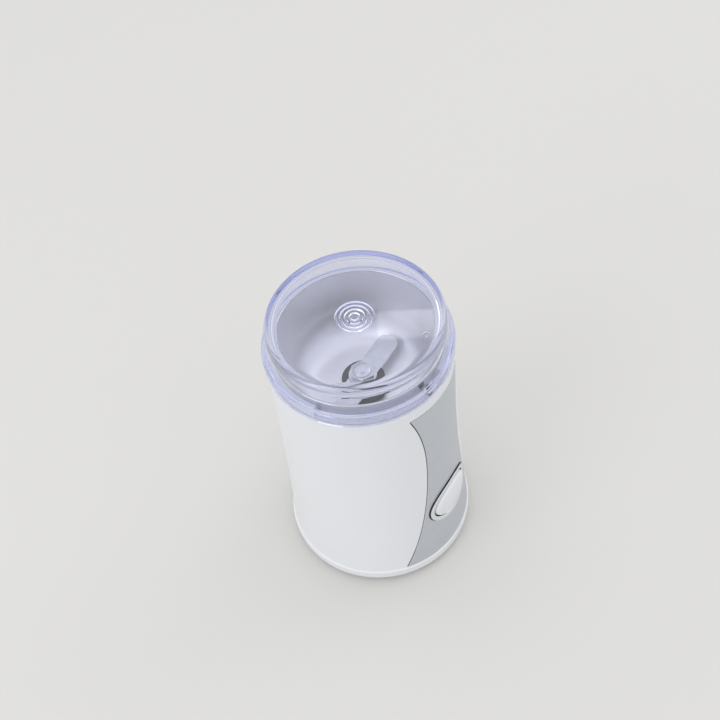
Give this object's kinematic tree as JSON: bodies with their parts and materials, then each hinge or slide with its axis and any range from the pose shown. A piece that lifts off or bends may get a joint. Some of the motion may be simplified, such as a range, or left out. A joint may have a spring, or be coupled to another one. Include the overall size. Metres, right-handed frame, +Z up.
{
  "type": "electric spice grinder",
  "caption": "White upright electric blade grinder with a clear lift-off lid, a steel bowl with a spinning blade, a silver side panel and an oval push button in a chrome ring.",
  "frame": {"origin": "on the floor under the centre of the base, level with the underside of the rubber feet", "axes": "+Z up along the shaft, -Y towards the push button, +Y towards the cord inlet, +X to the right seen from the button side"},
  "size_m": [0.0928, 0.0928, 0.1575],
  "materials": {
    "white_plastic": "glossy moulded ABS",
    "silver_plastic": "satin silver-painted ABS",
    "chrome_plate": "polished plating",
    "clear_plastic": "clear polished moulded plastic",
    "stainless_steel": "brushed",
    "zinc_steel": "zinc-plated",
    "lamination_steel": "varnished stacked laminations",
    "copper_wire": "enamelled copper",
    "brass_part": "satin",
    "black_rubber": "matte",
    "black_plastic": "matte moulded",
    "natural_nylon": "uncoloured nylon",
    "carbon": "pressed carbon",
    "bracket_metal": "die cast",
    "capacitor_plastic": "moulded case"
  },
  "bodies": {
    "housing": {"body_shell": "white_plastic", "side_panel": "silver_plastic", "button_bezel": "chrome_plate", "button_spring": "zinc_steel", "switch_housing": "black_plastic", "switch_contacts": "brass_part", "switch_screws": "zinc_steel", "lid_collar": "white_plastic", "bowl_chassis": "natural_nylon", "grinding_bowl": "stainless_steel", "bowl_gasket": "black_rubber", "interlock_spring": "zinc_steel", "shaft_seal": "black_rubber", "upper_bearing": "brass_part", "lower_bearing": "brass_part", "upper_bracket": "bracket_metal", "lower_bracket": "bracket_metal", "stator_core": "lamination_steel", "field_coils": "copper_wire", "brush_holders": "brass_part", "carbon_brushes": "carbon", "brush_springs": "zinc_steel", "rubber_dampers": "black_rubber", "motor_screws": "zinc_steel", "stator_bolts": "zinc_steel", "base_cover": "white_plastic", "base_screws": "zinc_steel", "rubber_feet": "black_rubber", "cord_gland": "white_plastic", "cord_clamp": "black_plastic", "terminal_block": "natural_nylon", "suppressor_capacitor": "capacitor_plastic", "thermal_fuse": "natural_nylon", "mains_leads": "black_plastic", "motor_leads": "black_plastic"},
    "lid": {"lid": "clear_plastic"},
    "interlock": {"interlock_pin": "black_plastic"},
    "button": {"power_button": "white_plastic"},
    "plunger": {"switch_plunger": "natural_nylon"},
    "rotor": {"drive_shaft": "zinc_steel", "blade": "stainless_steel", "blade_nut": "stainless_steel", "slinger_washer": "black_plastic", "armature_core": "lamination_steel", "armature_windings": "copper_wire", "commutator": "copper_wire", "cooling_fan": "natural_nylon"}
  },
  "joints": [
    {"name": "lid_lift", "type": "slide", "parent": "housing", "child": "lid", "axis": [0, 0, 1], "range_m": [0, 0.06]},
    {"name": "interlock_rise", "type": "slide", "parent": "housing", "child": "interlock", "axis": [0, 0, 1], "range_m": [0, 0.003], "deforming": ["interlock_spring"]},
    {"name": "button_press", "type": "slide", "parent": "housing", "child": "button", "axis": [0, 1, 0], "range_m": [0, 0.003], "stiffness_N_per_m": 800, "springref_m": -0.002, "deforming": ["button_spring"]},
    {"name": "plunger_slide", "type": "slide", "parent": "housing", "child": "plunger", "axis": [0, 1, 0], "range_m": [0, 0.003]},
    {"name": "rotor_spin", "type": "hinge", "parent": "housing", "child": "rotor", "pos_m": [0, 0, 0.1], "axis": [0, 0, 1], "continuous": true}
  ],
  "couplings": [
    {"joint": "interlock_rise", "follows": "lid_lift", "ratio": 0.05},
    {"joint": "plunger_slide", "follows": "button_press", "ratio": 1}
  ]
}
